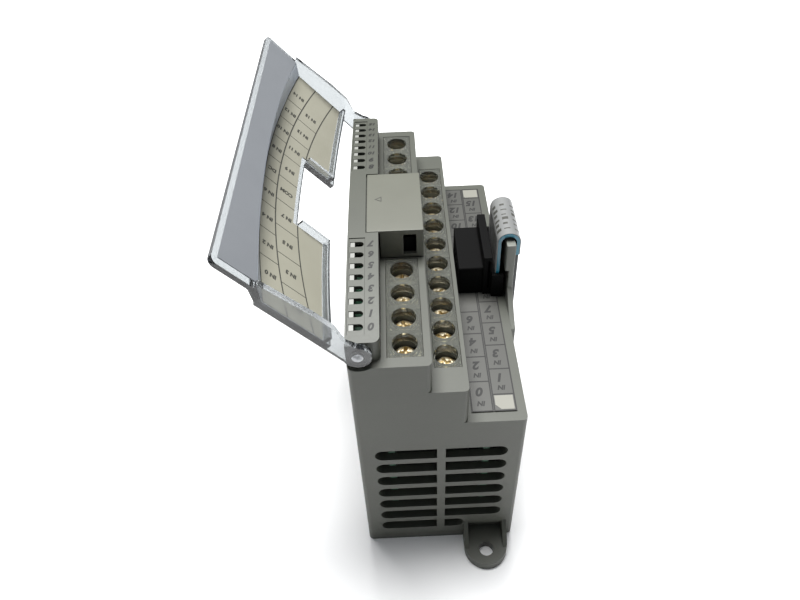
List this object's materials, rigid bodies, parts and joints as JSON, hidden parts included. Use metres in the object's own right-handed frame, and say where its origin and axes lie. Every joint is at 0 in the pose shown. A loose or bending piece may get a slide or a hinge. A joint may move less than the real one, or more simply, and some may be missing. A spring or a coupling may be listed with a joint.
{
  "type": "digital input module",
  "caption": "DIN rail input module with stepped screw terminals, status lights, swing-open label door and a short ribbon lead to its own plug",
  "frame": {"origin": "centre of the base, at the mouth of the rail channel, midway along it and across it", "axes": "+Z away from the panel or rail, +X along the rail towards the cable side, -Y towards the low-numbered channels"},
  "size_m": [0.0659, 0.11, 0.1108],
  "materials": {
    "case_plastic": "moulded, fine matt texture",
    "terminal_plastic": "moulded, matt",
    "clear_plastic": "clear moulded, smoky",
    "door_plastic": "clear smoky polycarbonate",
    "printed_card": "printed film, satin",
    "grey_film": "printed film, satin",
    "pale_film": "polyester film, satin",
    "ribbon_film": "polyester film over flat conductors",
    "black_plastic": "moulded, fine matt texture",
    "light_pipe": "clear moulded, frosted end",
    "brass_contact": "stamped, bright",
    "plated_steel": "nickel plated",
    "circuit_board": "green solder mask"
  },
  "bodies": {
    "root": {"rear_case": "case_plastic", "front_case": "case_plastic", "near_upper_terminal_base": "terminal_plastic", "near_upper_terminal_board": "circuit_board", "near_upper_guard": "clear_plastic", "near_upper_tabs": "brass_contact", "near_upper_clamp_plates": "plated_steel", "near_upper_screws": "plated_steel", "far_upper_terminal_base": "terminal_plastic", "far_upper_terminal_board": "circuit_board", "far_upper_guard": "clear_plastic", "far_upper_tabs": "brass_contact", "far_upper_clamp_plates": "plated_steel", "far_upper_screws": "plated_steel", "lower_terminal_base": "terminal_plastic", "lower_terminal_board": "circuit_board", "lower_guard": "clear_plastic", "lower_tabs": "brass_contact", "lower_clamp_plates": "plated_steel", "lower_screws": "plated_steel", "near_light_panel": "case_plastic", "near_light_pipes": "light_pipe", "far_light_panel": "case_plastic", "far_light_pipes": "light_pipe", "status_leds": "light_pipe", "light_board": "circuit_board", "port_shroud": "black_plastic", "port_pins": "brass_contact", "hinge_pins": "plated_steel", "latch_spring": "plated_steel", "ribbon_cable": "ribbon_film", "cable_film": "pale_film", "cable_guide": "case_plastic", "plug_body": "black_plastic", "plug_contacts": "brass_contact", "plug_cover": "black_plastic", "plug_clip": "black_plastic", "shelf_label": "printed_card", "logic_board": "circuit_board", "input_board": "circuit_board", "board_link": "black_plastic", "capacitors": "black_plastic", "controller_chips": "black_plastic", "optocouplers": "black_plastic"},
    "door": {"door_shell": "door_plastic", "door_card": "printed_card", "door_fascia": "grey_film"},
    "port_cover": {"port_cover": "case_plastic"},
    "rail_latch": {"rail_latch": "black_plastic"}
  },
  "joints": [
    {"name": "door_hinge", "type": "hinge", "parent": "root", "child": "door", "pos_m": [-0.0176, 0, 0.0812], "axis": [0, 1, 0], "range_deg": [-8, 130.5]},
    {"name": "port_cover_lift", "type": "slide", "parent": "root", "child": "port_cover", "axis": [0, 0, 1], "range_m": [0, 0.012]},
    {"name": "rail_latch_slide", "type": "slide", "parent": "root", "child": "rail_latch", "axis": [0, 1, 0], "range_m": [0, 0.0025], "stiffness_N_per_m": 400, "deforming": ["latch_spring"]}
  ]
}
